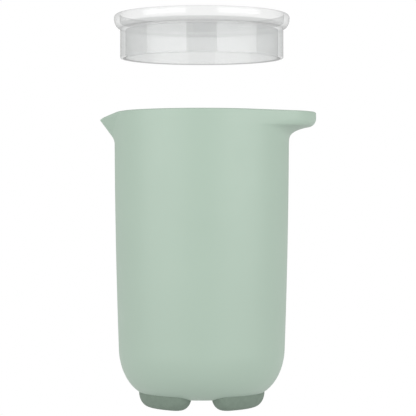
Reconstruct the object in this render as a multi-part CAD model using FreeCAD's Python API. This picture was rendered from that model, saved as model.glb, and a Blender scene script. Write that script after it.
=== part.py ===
"""Mixing jug with a clear push-in lid: a moulded jug with a pouring spout and a flat grip, two soft
half-ring feet set in pockets under its base, and a clear lid that lifts straight off.

Units are millimetres. Every shape is built about the jug's mouth axis, spout towards -X and grip
towards +X, with the table at Z = 0. Saving moves it so that the frame's origin is under the middle of
the jug's outline. The lid is saved lifted off: LID_LIFT above the height where it is seated.
"""

import FreeCAD, Part

import math
import os

from FreeCAD import Vector

# --- jug ------------------------------------------------------------------------------------------
RIM_HEIGHT = 193.5  # top of the rim above the table
RIM_RADIUS = 57.5  # outer radius at the rim
SIDE_CURVE_RADIUS = 4340.0  # the side wall is a very large arc, upright at the rim
BASE_HEIGHT = 6.9  # flat underside above the table
BASE_TURN_WIDTH = 22.4  # the turn from underside to side wall is a quarter of an ellipse
BASE_TURN_HEIGHT = 32.3
WALL = 3.3
FLOOR = 3.5
RIM_OUTER_ROUND = 1.1
RIM_INNER_ROUND = 0.8

# --- grip: a flat lip flush with the rim ----------------------------------------------------------
GRIP_REACH = 75.4  # from the mouth axis to the grip's tip
GRIP_END_RADIUS = 34.3  # plan radius of the grip's end
GRIP_SIDE = 4.2  # height of the grip's upright side
GRIP_EDGE = 5.6  # height of its rounded lower edge
GRIP_EDGE_SHARE = 0.3  # share of the overhang that the rounded edge takes
GRIP_HOLLOW = 14.5  # height of the hollow curve from the rounded edge in to the wall
GRIP_HOLLOW_POWER = 5.2
GRIP_HOLLOW_STEPS = 10  # sections taken down the hollow, closest together at its top
GRIP_HOLLOW_SPREAD = 1.4

# --- spout: two flat sides meeting at a narrow nose -----------------------------------------------
SPOUT_REACH = 67.5  # from the mouth axis to the tip of the lip
SPOUT_TIP_DEPTH = 5.3  # the tip below the rim
SPOUT_DEPTH = 18.5  # below the rim, where the nose leaves the side wall
SPOUT_HALF_WIDTH = 22.9  # half the opening, where the lip leaves the round rim
SPOUT_WALL = 2.4
SPOUT_NOSE = 0.05  # bluntness of the nose, as the sine of an angle about the mouth axis
SPOUT_NOSE_CUT = 1.05  # the blunt nose stands this far inside the line where its flat sides would meet
SPOUT_BLEND = 3.4  # softness of the corner between spout and wall at the nose's foot
SPOUT_RIM_BLEND = 0.35  # the same at the rim, where the corner is almost flat
LIP_SLOPE = 0.32  # fall of the lip towards its tip
LIP_BEND = 4.5  # half the length over which the level rim bends into the falling lip
LIP_FADE = 24.0  # depth below the rim at which the wall's outlines are level again

# --- feet: two half rings with a channel between them ---------------------------------------------
FOOT_OUTER_RADIUS = 41.4
FOOT_INNER_RADIUS = 25.0
FOOT_CHANNEL = 12.9
FOOT_CORNER = 7.0  # plan radius of the corners at the channel, outside
FOOT_INNER_CORNER = 4.0
FOOT_ROUND_HEIGHT = 9.5  # the soft lower edge is a quarter of an ellipse
FOOT_ROUND_OUTSIDE = 6.6  # its width on the outer side, the inner side and the channel's side
FOOT_ROUND_INSIDE = 4.0
FOOT_ROUND_END = 7.6
FOOT_CORNER_LEFT = 0.4  # share of the plan corners' radius left at the contact plane
FOOT_TOP = 13.0  # height of the blank, before the jug's underside trims it
FOOT_POCKET = 1.2  # how deep each foot is set into the jug's underside

# --- lid: heights are from its seat, the level that rests on the jug's rim ------------------------
LID_RIM_RADIUS = 57.9
LID_RIM_HEIGHT = 9.4
LID_RIM_INNER_RADIUS = 54.1
LID_RIM_ROUND = 2.5
LID_TURN_WIDTH = 4.0  # below its round the rim's side is a quarter of an ellipse
LID_PLATE_UNDERSIDE = -0.7
LID_PLATE_TOP = 3.2
LID_PLATE_ROUND = 0.5
LID_TRAY_ROUND = 1.5
LID_SKIRT_RADIUS = 53.8
LID_SKIRT_WALL = 3.5
LID_SKIRT_DEPTH = 19.7
LID_SKIRT_ROUND = 0.6
LID_SEAT_GAP = 0.1  # clearance between the seated lid and the jug's rim
LID_LIFT = 55.0  # how far above its seated height the lid is held

# --- how closely the curved walls are sampled -------------------------------------------------------
OUTLINE_STEPS = ((60, 2.5), (140, 4.0), (165, 2.5), (180, 1.25))  # degrees from the grip: as far as, by
ROUND_STEP = 15  # degrees between sections over a small round
TURN_STEP = 6  # degrees between sections up the turn of the base
SIDE_GAP = 1.2  # first gap between sections of the side wall
SIDE_GROWTH = 1.35  # each gap is this many times the one before
RIM_PASSES = 4  # the lip's height and radius depend on each other, and settle in this many passes

AXIS = Vector(0, 0, 1)
MIDDLE_X = (GRIP_REACH - SPOUT_REACH) / 2  # middle of the outline, from the mouth axis
QUARTER_HANDLE = 0.5523  # handle length that makes a cubic curve a quarter of an ellipse


# --- outlines in the XZ plane ---------------------------------------------------------------------
def line(start, end):
    return Part.makeLine(Vector(start[0], 0, start[1]), Vector(end[0], 0, end[1]))


def bezier(poles):
    curve = Part.BezierCurve()
    curve.setPoles([Vector(x, 0, z) for x, z in poles])
    return curve.toShape()


def quarter(start, end, level_first):
    """A quarter of an ellipse. It leaves its start level (along X) or upright, and arrives the other way."""
    reach = QUARTER_HANDLE
    dx = end[0] - start[0]
    dz = end[1] - start[1]
    if level_first:
        handles = [(start[0] + reach * dx, start[1]), (end[0], end[1] - reach * dz)]
    else:
        handles = [(start[0], start[1] + reach * dz), (end[0] - reach * dx, end[1])]
    return bezier([start, *handles, end])


def revolve(edges):
    return Part.Face(Part.Wire(edges)).revolve(Vector(), AXIS, 360)


# --- jug skins: closed outlines at many heights, lofted -------------------------------------------
def side_radius(z):
    """Outer radius of the plain side wall."""
    drop = max(RIM_HEIGHT - z, 0.0)
    return RIM_RADIUS - drop**2 / (2 * SIDE_CURVE_RADIUS)


def smooth_max(a, b, width):
    """The larger of two lengths, rounded where they are within width of each other."""
    near = max(width - abs(a - b), 0.0) / width
    return max(a, b) + near**3 * width / 6


def grip_plan(angle):
    """Radius of the rim's plan outline: its circle and the grip's end circle, wrapped by common tangents."""
    end_x = GRIP_REACH - GRIP_END_RADIUS
    tangent = math.acos((RIM_RADIUS - GRIP_END_RADIUS) / end_x)
    touch_x = end_x + GRIP_END_RADIUS * math.cos(tangent)
    touch = math.atan2(GRIP_END_RADIUS * math.sin(tangent), touch_x)
    if angle >= tangent:
        return RIM_RADIUS
    if angle >= touch:
        return RIM_RADIUS / math.cos(angle - tangent)
    aside = end_x * math.sin(angle)
    return end_x * math.cos(angle) + math.sqrt(GRIP_END_RADIUS**2 - aside**2)


def grip_depths():
    """Depths below the rim where the grip's section is taken, close together where it turns."""
    edge_end = GRIP_SIDE + GRIP_EDGE
    depths = [0.0, GRIP_SIDE / 2, GRIP_SIDE]
    for turn in range(ROUND_STEP, 90, ROUND_STEP):
        depths.append(GRIP_SIDE + GRIP_EDGE * math.sin(math.radians(turn)))
    for step in range(GRIP_HOLLOW_STEPS + 1):
        depths.append(edge_end + GRIP_HOLLOW * (step / GRIP_HOLLOW_STEPS) ** GRIP_HOLLOW_SPREAD)
    return depths


def grip_share(depth):
    """Share of the grip's overhang left at a depth below the rim."""
    below_side = depth - GRIP_SIDE
    if below_side <= 0:
        return 1.0
    if below_side <= GRIP_EDGE:
        return 1 - GRIP_EDGE_SHARE * (1 - math.sqrt(1 - (below_side / GRIP_EDGE) ** 2))
    left = max(1 - (below_side - GRIP_EDGE) / GRIP_HOLLOW, 0.0)
    return (1 - GRIP_EDGE_SHARE) * left**GRIP_HOLLOW_POWER


def spout_side():
    """Normal (outward, sideways, up) and distance of the spout's flat side. The side holds the point where
    the lip leaves the rim and the line of the nose."""
    foot_radius = side_radius(RIM_HEIGHT - SPOUT_DEPTH)
    lip_start = Vector(math.sqrt(RIM_RADIUS**2 - SPOUT_HALF_WIDTH**2), SPOUT_HALF_WIDTH, 0)
    nose_tip = Vector(SPOUT_REACH + SPOUT_NOSE_CUT, 0, -SPOUT_TIP_DEPTH)
    nose_foot = Vector(foot_radius + SPOUT_NOSE_CUT, 0, -SPOUT_DEPTH)
    normal = (nose_foot - nose_tip).cross(lip_start - nose_tip)
    normal.normalize()
    if normal.x < 0:
        normal = -normal
    return normal, normal.dot(nose_tip)


def spout_radius(from_nose, z, inset):
    """Radius of the spout's outline at an angle from its nose, its sides moved in by inset."""
    normal, distance = spout_side()
    sideways = min(from_nose, math.atan2(normal.y, normal.x))
    blunt = math.hypot(math.sin(sideways), SPOUT_NOSE) - SPOUT_NOSE / 2
    return (distance - inset - normal.z * (z - RIM_HEIGHT)) / (
        normal.x * math.cos(sideways) + normal.y * blunt
    )


def skin_radius(angle, z, inset, spout_inset, grip):
    """Radius of a jug skin at a height and at an angle, which is 0 at the grip and pi at the spout."""
    depth = max(RIM_HEIGHT - z, 0.0)
    radius = side_radius(z) - inset
    if grip:
        radius += (grip_plan(abs(angle)) - RIM_RADIUS) * grip_share(depth)
    blend = SPOUT_RIM_BLEND + (SPOUT_BLEND - SPOUT_RIM_BLEND) * min(depth / SPOUT_DEPTH, 1.0) ** 2
    return smooth_max(radius, spout_radius(math.pi - abs(angle), z, spout_inset), blend)


def outline_angles():
    """Degrees from grip to spout, closer together at the grip and closest at the spout."""
    angles = [0.0]
    for end, step in OUTLINE_STEPS:
        while angles[-1] < end:
            angles.append(angles[-1] + step)
    return angles


def outline(point_at):
    """A smooth closed wire around the mouth axis, in two mirrored halves. point_at gives a radius and a
    height for an angle."""
    half = outline_angles()
    edges = []
    for side in (1, -1):
        points = []
        for degrees in half:
            angle = math.radians(degrees)
            radius, z = point_at(angle)
            points.append(Vector(radius * math.cos(angle), side * radius * math.sin(angle), z))
        step = side * math.radians(1)
        curve = Part.BSplineCurve()
        curve.interpolate(
            Points=points,
            Parameters=half,
            InitialTangent=Vector(0, step * points[0].x, 0),
            FinalTangent=Vector(0, step * points[-1].x, 0),
            Scale=False,
        )
        edges.append(curve.toShape())
    return Part.Wire(edges)


def graded(low, high, gap, growth):
    """Heights from low to high whose gaps grow from both ends towards the middle."""
    lows = [low]
    highs = [high]
    while highs[-1] - lows[-1] > 3 * gap:
        lows.append(lows[-1] + gap)
        highs.append(highs[-1] - gap)
        gap *= growth
    return lows + highs[::-1]


def rim_z(x):
    """Height of the rim: level, then falling along the spout's lip."""
    beyond = -x - math.sqrt(RIM_RADIUS**2 - SPOUT_HALF_WIDTH**2)
    return RIM_HEIGHT - LIP_SLOPE * smooth_max(beyond, 0.0, LIP_BEND)


def wall_section(depth, skin, inset=0.0):
    """Outline of a skin at a depth below the rim, following the lip's fall and levelling out further down.
    inset moves it into the wall's thickness."""

    def point_at(angle):
        z = RIM_HEIGHT
        for _ in range(RIM_PASSES):
            z = rim_z(skin_radius(angle, z, *skin) * math.cos(angle))
        z = RIM_HEIGHT - depth - (RIM_HEIGHT - z) * max(1 - depth / LIP_FADE, 0.0)
        return skin_radius(angle, z, *skin) - inset, z

    return outline(point_at)


def wall_sections(inset, base_z, skin, rim_round):
    """Outlines of a skin from its flat bottom, up its elliptical turn and its side to the rim's rounding."""
    turn_top = BASE_HEIGHT + BASE_TURN_HEIGHT
    turn_radius = side_radius(turn_top) - inset
    flat_radius = side_radius(turn_top) - BASE_TURN_WIDTH
    wires = []
    for degrees in range(0, 90, TURN_STEP):
        turn = math.radians(degrees)
        z = turn_top - (turn_top - base_z) * math.cos(turn)
        radius = flat_radius + (turn_radius - flat_radius) * math.sin(turn)
        wires.append(outline(lambda angle, radius=radius, z=z: (radius, z)))
    upper = [depth for depth in grip_depths() if depth > rim_round] + [rim_round]
    depths = upper + graded(max(upper), RIM_HEIGHT - turn_top, SIDE_GAP, SIDE_GROWTH)[1:]
    return wires + [wall_section(depth, skin) for depth in sorted(depths, reverse=True)]


def rim_sections(skin, rim_round, direction):
    """Outlines over the rim's rounded edge. direction is 1 for the outer edge and -1 for the inner one."""
    wires = []
    for degrees in range(0, 91, ROUND_STEP):
        turn = math.radians(degrees)
        inset = direction * rim_round * (1 - math.cos(turn))
        wires.append(wall_section(rim_round * (1 - math.sin(turn)), skin, inset))
    return wires


def jug_shell():
    """The jug without its foot pockets: two skins joined by the rounded rim, sewn into one solid."""
    outer = (0.0, 0.0, True)
    inner = (WALL, SPOUT_WALL, False)
    outer_wall = wall_sections(0.0, BASE_HEIGHT, outer, RIM_OUTER_ROUND)
    outer_rim = rim_sections(outer, RIM_OUTER_ROUND, 1)
    inner_rim = rim_sections(inner, RIM_INNER_ROUND, -1)
    inner_wall = wall_sections(WALL, BASE_HEIGHT + FLOOR, inner, RIM_INNER_ROUND)
    faces = [Part.Face(outer_wall[0]), Part.Face(inner_wall[0])]
    for wires in (outer_wall, outer_rim, inner_rim, inner_wall):
        faces += Part.makeLoft(wires, False).Faces
    faces += Part.makeLoft([outer_rim[-1], inner_rim[-1]], False, True).Faces
    shell = Part.makeShell(faces)
    shell.sewShape()
    return Part.makeSolid(shell)


# --- feet -----------------------------------------------------------------------------------------
def foot_outline(left, z):
    """Outline of the right-hand foot at height z. left is 0 at the contact plane and 1 above the round."""
    outer = FOOT_OUTER_RADIUS - FOOT_ROUND_OUTSIDE * (1 - left)
    inner = FOOT_INNER_RADIUS + FOOT_ROUND_INSIDE * (1 - left)
    end = FOOT_CHANNEL / 2 + FOOT_ROUND_END * (1 - left)
    shrink = FOOT_CORNER_LEFT + (1 - FOOT_CORNER_LEFT) * left
    corner = FOOT_CORNER * shrink
    inner_corner = FOOT_INNER_CORNER * shrink
    corner_y = math.sqrt((outer - corner) ** 2 - (end + corner) ** 2)
    inner_y = math.sqrt((inner + inner_corner) ** 2 - (end + inner_corner) ** 2)
    turn = math.atan2(corner_y, end + corner)
    inner_turn = math.atan2(inner_y, end + inner_corner)

    def corner_arc(centre_x, centre_y, radius, start_angle, end_angle):
        centre = Vector(centre_x, centre_y, z)
        points = []
        for angle in (start_angle, (start_angle + end_angle) / 2, end_angle):
            points.append(centre + Vector(radius * math.cos(angle), radius * math.sin(angle), 0))
        return Part.Arc(*points).toShape()

    def circle_arc(radius, start_angle, end_angle):
        return corner_arc(0, 0, radius, start_angle, end_angle)

    upper_end = [Vector(end, corner_y, z), Vector(end, inner_y, z)]
    lower_end = [Vector(end, -inner_y, z), Vector(end, -corner_y, z)]
    edges = [
        circle_arc(outer, -turn, turn),
        corner_arc(end + corner, corner_y, corner, turn, math.pi),
        Part.makeLine(*upper_end),
        corner_arc(end + inner_corner, inner_y, inner_corner, math.pi, math.pi + inner_turn),
        circle_arc(inner, inner_turn, -inner_turn),
        corner_arc(end + inner_corner, -inner_y, inner_corner, math.pi - inner_turn, math.pi),
        Part.makeLine(*lower_end),
        corner_arc(end + corner, -corner_y, corner, math.pi, 2 * math.pi - turn),
    ]
    return Part.Wire(edges)


def right_foot():
    """The right-hand foot: a soft-edged half ring. Its top follows the shape of the jug's underside, but
    FOOT_POCKET higher, so that it stands in a pocket."""
    wires = []
    for degrees in range(0, 91, ROUND_STEP):
        turn = math.radians(degrees)
        wires.append(foot_outline(math.sin(turn), FOOT_ROUND_HEIGHT * (1 - math.cos(turn))))
    soft_edge = Part.makeLoft(wires, True)
    stem = Part.Face(foot_outline(1, FOOT_ROUND_HEIGHT))
    stem = stem.extrude(Vector(0, 0, FOOT_TOP - FOOT_ROUND_HEIGHT))
    blank = soft_edge.fuse(stem).removeSplitter()
    return blank.cut(above_pockets())


def above_pockets():
    """The space above the pockets' ceiling: the jug's underside, raised by the pockets' depth."""
    turn_top = BASE_HEIGHT + BASE_TURN_HEIGHT
    turn_radius = side_radius(turn_top)
    ceiling = (turn_radius - BASE_TURN_WIDTH, BASE_HEIGHT + FOOT_POCKET)
    corner = (turn_radius, turn_top + FOOT_POCKET)
    edges = [
        line((0, ceiling[1]), ceiling),
        quarter(ceiling, corner, True),
        line(corner, (0, corner[1])),
        line((0, corner[1]), (0, ceiling[1])),
    ]
    return revolve(edges)


# --- lid ------------------------------------------------------------------------------------------
def lid():
    """The clear lid at its seat height: rim, recessed plate and skirt in one moulding."""
    skirt_inner = LID_SKIRT_RADIUS - LID_SKIRT_WALL
    skirt_foot = -LID_SKIRT_DEPTH
    plate_edge = (skirt_inner - LID_PLATE_ROUND, LID_PLATE_UNDERSIDE)
    skirt_top = (skirt_inner, LID_PLATE_UNDERSIDE - LID_PLATE_ROUND)
    skirt_in = (skirt_inner, skirt_foot + LID_SKIRT_ROUND)
    foot_in = (skirt_inner + LID_SKIRT_ROUND, skirt_foot)
    foot_out = (LID_SKIRT_RADIUS - LID_SKIRT_ROUND, skirt_foot)
    skirt_out = (LID_SKIRT_RADIUS, skirt_foot + LID_SKIRT_ROUND)
    skirt_root = (LID_SKIRT_RADIUS, 0)
    turn_start = (LID_RIM_RADIUS - LID_TURN_WIDTH, 0)
    rim_side = (LID_RIM_RADIUS, LID_RIM_HEIGHT - LID_RIM_ROUND)
    rim_corner = (LID_RIM_RADIUS - LID_RIM_ROUND, LID_RIM_HEIGHT)
    rim_inside = (LID_RIM_INNER_RADIUS, LID_RIM_HEIGHT)
    tray_wall = (LID_RIM_INNER_RADIUS, LID_PLATE_TOP + LID_TRAY_ROUND)
    tray_floor = (LID_RIM_INNER_RADIUS - LID_TRAY_ROUND, LID_PLATE_TOP)
    edges = [
        line((0, LID_PLATE_UNDERSIDE), plate_edge),
        quarter(plate_edge, skirt_top, True),
        line(skirt_top, skirt_in),
        quarter(skirt_in, foot_in, False),
        line(foot_in, foot_out),
        quarter(foot_out, skirt_out, True),
        line(skirt_out, skirt_root),
        line(skirt_root, turn_start),
        quarter(turn_start, rim_side, True),
        quarter(rim_side, rim_corner, False),
        line(rim_corner, rim_inside),
        line(rim_inside, tray_wall),
        quarter(tray_wall, tray_floor, False),
        line(tray_floor, (0, LID_PLATE_TOP)),
        line((0, LID_PLATE_TOP), (0, LID_PLATE_UNDERSIDE)),
    ]
    return revolve(edges)


# --- assembly -------------------------------------------------------------------------------------
def save(name, shape, lift=0.0):
    """Writes one solid, moved so that the middle of the jug's outline stands on the frame's origin."""
    placed = shape.copy()
    placed.translate(Vector(-MIDDLE_X, 0, lift))
    placed.exportStep(f"parts/{name}.step")


os.makedirs("parts", exist_ok=True)
foot_right = right_foot().Solids[0]
foot_left = foot_right.mirror(Vector(), Vector(1, 0, 0))
jug_body = jug_shell().cut([foot_right, foot_left]).Solids[0]
save("jug_body", jug_body)
save("foot_right", foot_right)
save("foot_left", foot_left)
save("lid", lid(), RIM_HEIGHT + LID_SEAT_GAP + LID_LIFT)
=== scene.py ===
"""Studio picture of the lidded mixing jug: satin jug, soft feet, clear lid, white surroundings."""

import math

import bpy
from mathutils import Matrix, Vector


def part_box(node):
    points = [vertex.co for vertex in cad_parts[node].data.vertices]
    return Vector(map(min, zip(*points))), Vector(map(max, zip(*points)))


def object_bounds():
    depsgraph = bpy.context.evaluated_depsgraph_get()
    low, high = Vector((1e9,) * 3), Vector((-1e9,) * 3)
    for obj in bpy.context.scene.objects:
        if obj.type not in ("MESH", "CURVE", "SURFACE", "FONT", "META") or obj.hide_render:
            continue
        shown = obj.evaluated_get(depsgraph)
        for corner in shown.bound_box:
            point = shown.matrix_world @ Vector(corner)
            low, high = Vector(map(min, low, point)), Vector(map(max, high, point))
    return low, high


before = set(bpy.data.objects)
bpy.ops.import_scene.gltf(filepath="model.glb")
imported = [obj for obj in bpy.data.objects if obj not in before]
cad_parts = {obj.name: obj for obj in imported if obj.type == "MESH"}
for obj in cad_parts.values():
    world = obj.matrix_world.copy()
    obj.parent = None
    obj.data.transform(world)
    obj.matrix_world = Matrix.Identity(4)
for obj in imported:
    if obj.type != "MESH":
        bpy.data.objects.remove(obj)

CAD_LOW, CAD_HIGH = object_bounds()
CENTRE = (CAD_LOW + CAD_HIGH) / 2
HEIGHT = CAD_HIGH.z - CAD_LOW.z
LID_LOW, LID_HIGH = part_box("lid")
LID_MIDDLE = (LID_LOW + LID_HIGH) / 2  # on the axis of the jug's round mouth
LID_SIZE = LID_HIGH - LID_LOW

# colours are linear
JUG_GREEN = (0.343, 0.437, 0.365)
FOOT_GREEN = (0.163, 0.213, 0.172)
LID_GREY = (0.505, 0.52, 0.514)
LID_HAZE = 0.275  # share of the light that a surface met head on scatters
LID_EDGE_HAZE = 0.475  # the same at a glancing angle
LID_GLOSS = 0.04  # share that it mirrors head on
LID_EDGE_GLOSS = 0.6
LID_HAZE_POWER = 1.3  # how late the haze and the mirroring rise towards a glancing angle
LID_GLOSS_POWER = 5.0

# the lid's zones: heights are shares of its height, radii shares of its radius
LID_SEAT = 0.677  # the corner between skirt and rim
LID_SEAT_SHADE = 0.3  # brightness of the painted shade in that corner
LID_SEAT_BELOW = 0.065  # how far the painted shade of the corner reaches
LID_SEAT_ABOVE = 0.02
LID_CLEARING = (0.69, 0.8)  # the haze thins out from skirt to rim between these heights
LID_RIM_HAZE = 0.4  # haze of the rim as a share of the skirt's
LID_FLAT = (0.93, 0.99)  # upright part of the normal from which a surface counts as flat
LID_FOOT = 0.035  # height of the rounded foot of the skirt
LID_FOOT_MIDDLE = 0.899  # radius of the middle of the skirt's wall
LID_FOOT_SHADE = 0.35  # brightness of the painted shade on the foot where its inside is met first
LID_FOOT_HAZE = 0.25  # extra haze there beyond the skirt's, which carries that painted shade

# surface detail: how fine it is in features per metre, with its range or with its depth in metres
NOISE_RANGE = (0.3, 0.7)  # where nearly all values of a noise lie
NOISE_DETAIL = 2.0  # octaves
CLOUDS_PER_M, CLOUDS = 22.0, (0.992, 1.008)  # pigment of the jug
SHEEN_PER_M, SHEEN_ROUGHNESS = 90.0, (0.4, 0.48)
JUG_GRAIN_PER_M, JUG_GRAIN_DEPTH = 2600.0, 0.000004
JUG_WAVES_PER_M, JUG_WAVES_DEPTH = 140.0, 0.00001
SCUFFS_PER_M, SCUFFS = 260.0, (0.94, 1.06)  # brightness of the feet
DULLNESS_PER_M, DULL_ROUGHNESS = 400.0, (0.66, 0.8)
FOOT_GRAIN_PER_M, FOOT_GRAIN_DEPTH = 1800.0, 0.00002
POLISH_PER_M, POLISH_ROUGHNESS = 120.0, (0.025, 0.04)  # the lid
LID_WAVES_PER_M, LID_WAVES_DEPTH = 60.0, 0.000003
FINE_DETAIL = 4.0
FINEST_DETAIL = 5.0
PLASTIC_IOR = 1.49
RUBBER_IOR = 1.41
EVEN_BLEND = 0.5  # makes a layer weight's Facing 1 minus the cosine of the slant

# the camera looks almost level at the middle of the object; lengths are in object heights
CAMERA_DISTANCE = 4.477
CAMERA_ASIDE = 0.0159  # to the right of the mouth's axis
CAMERA_HEIGHT = 0.5174
AIM_HEIGHT = 0.5054
LENS_MM = 151.4
SENSOR_MM = 36.0
FAR_CLIP_M = 100.0

# studio, lengths in object heights
PANEL_DISTANCE = 4.6
PANEL_AZIMUTH = 51.0  # degrees to either side of the camera
PANEL_WIDTH = 5.3
PANEL_HEIGHT = 5.5
PANEL_LIFT = 0.8
PANEL_WATTS = 13.9
ROOM_LIGHT = 0.51  # what matt surfaces see of the white room
ROOM_MIRROR = 0.55  # what shiny surfaces see of it
FLOOR_REACH = 40.0
FLOOR_GLOW = 0.8  # what the floor gives to everything but the camera
FLOOR_WHITE = 0.92
FLOOR_LOW_ANGLE = (0.55, 0.85)  # slant between which the floor turns pure white to the camera


# --- node helpers ---------------------------------------------------------------------------------
def new_material(name):
    """An empty node material and its output."""
    material = bpy.data.materials.new(name)
    material.use_nodes = True
    material.node_tree.nodes.clear()
    output = material.node_tree.nodes.new("ShaderNodeOutputMaterial")
    return material, material.node_tree, output


def noise(tree, scale, detail=NOISE_DETAIL):
    """Noise in the object's own coordinates. scale is in features per metre."""
    coordinates = tree.nodes.new("ShaderNodeTexCoord")
    texture = tree.nodes.new("ShaderNodeTexNoise")
    texture.inputs["Scale"].default_value = scale
    texture.inputs["Detail"].default_value = detail
    tree.links.new(coordinates.outputs["Object"], texture.inputs["Vector"])
    return texture.outputs["Fac"]


def ranged(tree, value, low, high):
    """Maps a noise's values to a range from low to high."""
    mapped = tree.nodes.new("ShaderNodeMapRange")
    mapped.inputs["From Min"].default_value = NOISE_RANGE[0]
    mapped.inputs["From Max"].default_value = NOISE_RANGE[1]
    mapped.inputs["To Min"].default_value = low
    mapped.inputs["To Max"].default_value = high
    tree.links.new(value, mapped.inputs["Value"])
    return mapped.outputs["Result"]


def bump(tree, height, depth, under=None):
    """Raises the surface by height times depth (in metres), on top of another bump if there is one."""
    node = tree.nodes.new("ShaderNodeBump")
    node.inputs["Strength"].default_value = 1.0
    node.inputs["Distance"].default_value = depth
    tree.links.new(height, node.inputs["Height"])
    if under is not None:
        tree.links.new(under, node.inputs["Normal"])
    return node.outputs["Normal"]


def shaded(tree, colour, shade):
    """A colour multiplied by a value."""
    scaled = tree.nodes.new("ShaderNodeVectorMath")
    scaled.operation = "SCALE"
    scaled.inputs[0].default_value = colour
    tree.links.new(shade, scaled.inputs["Scale"])
    return scaled.outputs["Vector"]


def mixed(tree, share, first, second):
    """Two shaders mixed. share is the second one's part."""
    mix = tree.nodes.new("ShaderNodeMixShader")
    tree.links.new(share, mix.inputs["Fac"])
    tree.links.new(first, mix.inputs[1])
    tree.links.new(second, mix.inputs[2])
    return mix.outputs["Shader"]


def computed(tree, operation, *values):
    """A value worked out from numbers and other values."""
    node = tree.nodes.new("ShaderNodeMath")
    node.operation = operation
    for socket, value in zip(node.inputs, values):
        if isinstance(value, float):
            socket.default_value = value
        else:
            tree.links.new(value, socket)
    return node.outputs["Value"]


def stepped(tree, value, start, end, low, high):
    """low below start, high above end, and a soft step between them."""
    step = tree.nodes.new("ShaderNodeMapRange")
    step.interpolation_type = "SMOOTHSTEP"
    step.inputs["From Min"].default_value = start
    step.inputs["From Max"].default_value = end
    step.inputs["To Min"].default_value = low
    step.inputs["To Max"].default_value = high
    tree.links.new(value, step.inputs["Value"])
    return step.outputs["Result"]


def slanting(tree):
    """How far a surface is turned away from the view: 0 if met head on, 1 at a glancing angle."""
    weight = tree.nodes.new("ShaderNodeLayerWeight")
    weight.inputs["Blend"].default_value = EVEN_BLEND
    return weight.outputs["Facing"]


def rising(tree, slant, low, high, power):
    """low where a surface is met head on, high where it is met at a glancing angle."""
    mapped = tree.nodes.new("ShaderNodeMapRange")
    mapped.inputs["To Min"].default_value = low
    mapped.inputs["To Max"].default_value = high
    tree.links.new(computed(tree, "POWER", slant, power), mapped.inputs["Value"])
    return mapped.outputs["Result"]


# --- materials ------------------------------------------------------------------------------------
def satin_plastic():
    """Moulded satin plastic: faint clouding of the pigment, fine grain, slightly uneven sheen."""
    material, tree, output = new_material("satin_plastic")
    surface = tree.nodes.new("ShaderNodeBsdfPrincipled")
    clouds = ranged(tree, noise(tree, CLOUDS_PER_M), *CLOUDS)
    tree.links.new(shaded(tree, JUG_GREEN, clouds), surface.inputs["Base Color"])
    sheen = ranged(tree, noise(tree, SHEEN_PER_M), *SHEEN_ROUGHNESS)
    tree.links.new(sheen, surface.inputs["Roughness"])
    surface.inputs["IOR"].default_value = PLASTIC_IOR
    grain = bump(tree, noise(tree, JUG_GRAIN_PER_M), JUG_GRAIN_DEPTH)
    grain = bump(tree, noise(tree, JUG_WAVES_PER_M), JUG_WAVES_DEPTH, grain)
    tree.links.new(grain, surface.inputs["Normal"])
    tree.links.new(surface.outputs["BSDF"], output.inputs["Surface"])
    return material


def soft_rubber():
    """Dull soft moulding: fine grain and faint scuffs."""
    material, tree, output = new_material("soft_rubber")
    surface = tree.nodes.new("ShaderNodeBsdfPrincipled")
    scuffs = ranged(tree, noise(tree, SCUFFS_PER_M, FINEST_DETAIL), *SCUFFS)
    tree.links.new(shaded(tree, FOOT_GREEN, scuffs), surface.inputs["Base Color"])
    dullness = ranged(tree, noise(tree, DULLNESS_PER_M), *DULL_ROUGHNESS)
    tree.links.new(dullness, surface.inputs["Roughness"])
    surface.inputs["IOR"].default_value = RUBBER_IOR
    grain = bump(tree, noise(tree, FOOT_GRAIN_PER_M, FINE_DETAIL), FOOT_GRAIN_DEPTH)
    tree.links.new(grain, surface.inputs["Normal"])
    tree.links.new(surface.outputs["BSDF"], output.inputs["Surface"])
    return material


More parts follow.
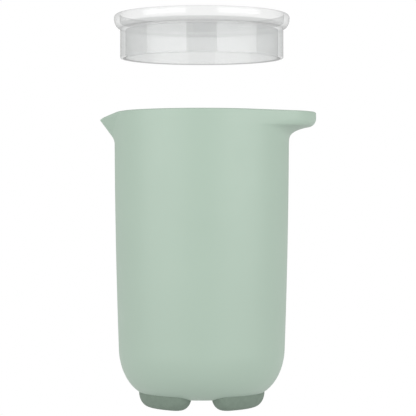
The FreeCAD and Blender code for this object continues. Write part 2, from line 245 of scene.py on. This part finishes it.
def clear_plastic():
    """Clear, faintly milky, thin-walled plastic: what is behind it shows unbent, greyer at the edges."""
    material, tree, output = new_material("clear_plastic")
    slant = slanting(tree)

    place = tree.nodes.new("ShaderNodeSeparateXYZ")
    tree.links.new(tree.nodes.new("ShaderNodeTexCoord").outputs["Object"], place.inputs["Vector"])
    above_foot = computed(tree, "SUBTRACT", place.outputs["Z"], LID_LOW.z)
    height = computed(tree, "DIVIDE", above_foot, LID_SIZE.z)
    off_axis = computed(tree, "SUBTRACT", place.outputs["X"], LID_MIDDLE.x)
    squares = [computed(tree, "MULTIPLY", side, side) for side in (off_axis, place.outputs["Y"])]
    radius = computed(tree, "SQRT", computed(tree, "ADD", *squares))
    radius = computed(tree, "DIVIDE", radius, LID_SIZE.x / 2)

    # the rim is clearer than the skirt and the plate
    clearing = stepped(tree, height, *LID_CLEARING, 1.0, LID_RIM_HAZE)

    # painted shade: upright walls are darkened in the corner between skirt and rim
    faced = tree.nodes.new("ShaderNodeNewGeometry")
    upright = tree.nodes.new("ShaderNodeSeparateXYZ")
    tree.links.new(faced.outputs["Normal"], upright.inputs["Vector"])
    flat = stepped(tree, computed(tree, "ABSOLUTE", upright.outputs["Z"]), *LID_FLAT, 0.0, 1.0)
    below = stepped(tree, height, LID_SEAT - LID_SEAT_BELOW, LID_SEAT, 1.0, LID_SEAT_SHADE)
    above = stepped(tree, height, LID_SEAT, LID_SEAT + LID_SEAT_ABOVE, LID_SEAT_SHADE, 1.0)
    shade = computed(tree, "MAXIMUM", computed(tree, "MAXIMUM", below, above), flat)

    # painted shade: the skirt's foot is darkened where its inside is met first, and clear everywhere else
    foot = stepped(tree, height, 0.0, LID_FOOT, 1.0, 0.0)
    inside = computed(tree, "LESS_THAN", radius, LID_FOOT_MIDDLE)
    first = computed(tree, "SUBTRACT", 1.0, faced.outputs["Backfacing"])
    painted_dark_foot = computed(tree, "MULTIPLY", foot, computed(tree, "MULTIPLY", inside, first))
    clear_foot = computed(tree, "SUBTRACT", foot, painted_dark_foot)
    shade = computed(tree, "MULTIPLY", shade, stepped(tree, painted_dark_foot, 0.0, 1.0, 1.0, LID_FOOT_SHADE))

    # milky haze, a sharp reflection, and what lies behind
    cloudy = rising(tree, slant, LID_HAZE, LID_EDGE_HAZE, LID_HAZE_POWER)
    cloudy = computed(tree, "MULTIPLY", cloudy, clearing)
    cloudy = computed(tree, "MULTIPLY", cloudy, computed(tree, "SUBTRACT", 1.0, clear_foot))
    # extra haze where the foot's painted shade lies, so that it shows
    cloudy = computed(tree, "MULTIPLY_ADD", painted_dark_foot, LID_FOOT_HAZE, cloudy)
    haze = tree.nodes.new("ShaderNodeBsdfDiffuse")
    # the haze's colour carries the painted shade of the seat corner and of the foot
    tree.links.new(shaded(tree, LID_GREY, shade), haze.inputs["Color"])
    window = tree.nodes.new("ShaderNodeBsdfTransparent")
    gloss = tree.nodes.new("ShaderNodeBsdfAnisotropic")
    polish = ranged(tree, noise(tree, POLISH_PER_M), *POLISH_ROUGHNESS)
    tree.links.new(polish, gloss.inputs["Roughness"])
    waves = bump(tree, noise(tree, LID_WAVES_PER_M), LID_WAVES_DEPTH)
    tree.links.new(waves, gloss.inputs["Normal"])
    wall = mixed(tree, cloudy, window.outputs["BSDF"], haze.outputs["BSDF"])
    mirror = rising(tree, slant, LID_GLOSS, LID_EDGE_GLOSS, LID_GLOSS_POWER)
    surface = mixed(tree, mirror, wall, gloss.outputs["BSDF"])

    # light from lamps and from the room goes through it unweakened
    path = tree.nodes.new("ShaderNodeLightPath")
    lit = computed(tree, "MAXIMUM", path.outputs["Is Shadow Ray"], path.outputs["Is Diffuse Ray"])
    surface = mixed(tree, lit, surface, window.outputs["BSDF"])
    tree.links.new(surface, output.inputs["Surface"])
    return material


def dress(node, material):
    """Gives a CAD node's object one material."""
    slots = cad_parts[node].material_slots
    for slot in slots:
        slot.material = material


# --- studio ---------------------------------------------------------------------------------------
def white_floor():
    """A plain white floor. To the camera it is pure white at a low angle and has shadows from above."""
    reach = FLOOR_REACH * HEIGHT
    mesh = bpy.data.meshes.new("floor")
    corners = [(-reach, -reach, 0), (reach, -reach, 0), (reach, reach, 0), (-reach, reach, 0)]
    mesh.from_pydata(corners, [], [(0, 1, 2, 3)])
    floor = bpy.data.objects.new("floor", mesh)
    bpy.context.scene.collection.objects.link(floor)
    material, tree, output = new_material("floor_white")
    pale = tree.nodes.new("ShaderNodeBsdfDiffuse")
    pale.inputs["Color"].default_value = (FLOOR_WHITE, FLOOR_WHITE, FLOOR_WHITE, 1.0)
    white = tree.nodes.new("ShaderNodeEmission")
    low_angle = stepped(tree, slanting(tree), *FLOOR_LOW_ANGLE, 0.0, 1.0)
    seen = mixed(tree, low_angle, pale.outputs["BSDF"], white.outputs["Emission"])

    # what it lights gets an even glow, as from a floor that is lit from below
    glow = tree.nodes.new("ShaderNodeEmission")
    glow.inputs["Strength"].default_value = FLOOR_GLOW
    path = tree.nodes.new("ShaderNodeLightPath")
    surface = mixed(tree, path.outputs["Is Camera Ray"], glow.outputs["Emission"], seen)
    tree.links.new(surface, output.inputs["Surface"])
    mesh.materials.append(material)


def white_room():
    """The surroundings: white behind the object and through the lid, greyer where they are reflected."""
    world = bpy.data.worlds.new("room")
    world.use_nodes = True
    tree = world.node_tree
    background = tree.nodes["Background"]
    path = tree.nodes.new("ShaderNodeLightPath")
    mirrored = tree.nodes.new("ShaderNodeMix")
    tree.links.new(path.outputs["Is Glossy Ray"], mirrored.inputs["Factor"])
    mirrored.inputs["A"].default_value = ROOM_LIGHT
    mirrored.inputs["B"].default_value = ROOM_MIRROR
    strength = tree.nodes.new("ShaderNodeMix")
    tree.links.new(path.outputs["Is Camera Ray"], strength.inputs["Factor"])
    tree.links.new(mirrored.outputs["Result"], strength.inputs["A"])
    strength.inputs["B"].default_value = 1.0
    background.inputs["Color"].default_value = (1.0, 1.0, 1.0, 1.0)
    tree.links.new(strength.outputs["Result"], background.inputs["Strength"])
    bpy.context.scene.world = world


def light_panel(side):
    """A tall soft panel in front of the object, to the left (side -1) or right (side 1) of the camera."""
    light = bpy.data.lights.new("panel", "AREA")
    light.shape = "RECTANGLE"
    light.size = PANEL_WIDTH * HEIGHT
    light.size_y = PANEL_HEIGHT * HEIGHT
    light.energy = PANEL_WATTS
    azimuth = math.radians(PANEL_AZIMUTH) * side
    away = Vector((math.sin(azimuth), -math.cos(azimuth), 0)) * PANEL_DISTANCE * HEIGHT
    panel = bpy.data.objects.new("panel", light)
    panel.location = CENTRE + away + Vector((0, 0, PANEL_LIFT * HEIGHT))
    panel.rotation_euler = (CENTRE - panel.location).to_track_quat("-Z", "Y").to_euler()
    bpy.context.scene.collection.objects.link(panel)


def camera():
    """A long lens in front of the object at a little over half its height."""
    data = bpy.data.cameras.new("camera")
    data.lens = LENS_MM
    data.sensor_width = SENSOR_MM
    data.clip_end = FAR_CLIP_M
    eye = bpy.data.objects.new("camera", data)
    aside = LID_MIDDLE.x + CAMERA_ASIDE * HEIGHT
    eye.location = Vector((aside, -CAMERA_DISTANCE * HEIGHT, CAMERA_HEIGHT * HEIGHT))
    aim = Vector((aside, 0, AIM_HEIGHT * HEIGHT))
    eye.rotation_euler = (aim - eye.location).to_track_quat("-Z", "Y").to_euler()
    bpy.context.scene.collection.objects.link(eye)
    bpy.context.scene.camera = eye


# --- the picture ----------------------------------------------------------------------------------
plastic = satin_plastic()
rubber = soft_rubber()
clear = clear_plastic()
dress("jug_body", plastic)
dress("foot_left", rubber)
dress("foot_right", rubber)
dress("lid", clear)

white_floor()
white_room()
light_panel(-1)
light_panel(1)
camera()
bpy.context.scene.view_settings.view_transform = "Standard"
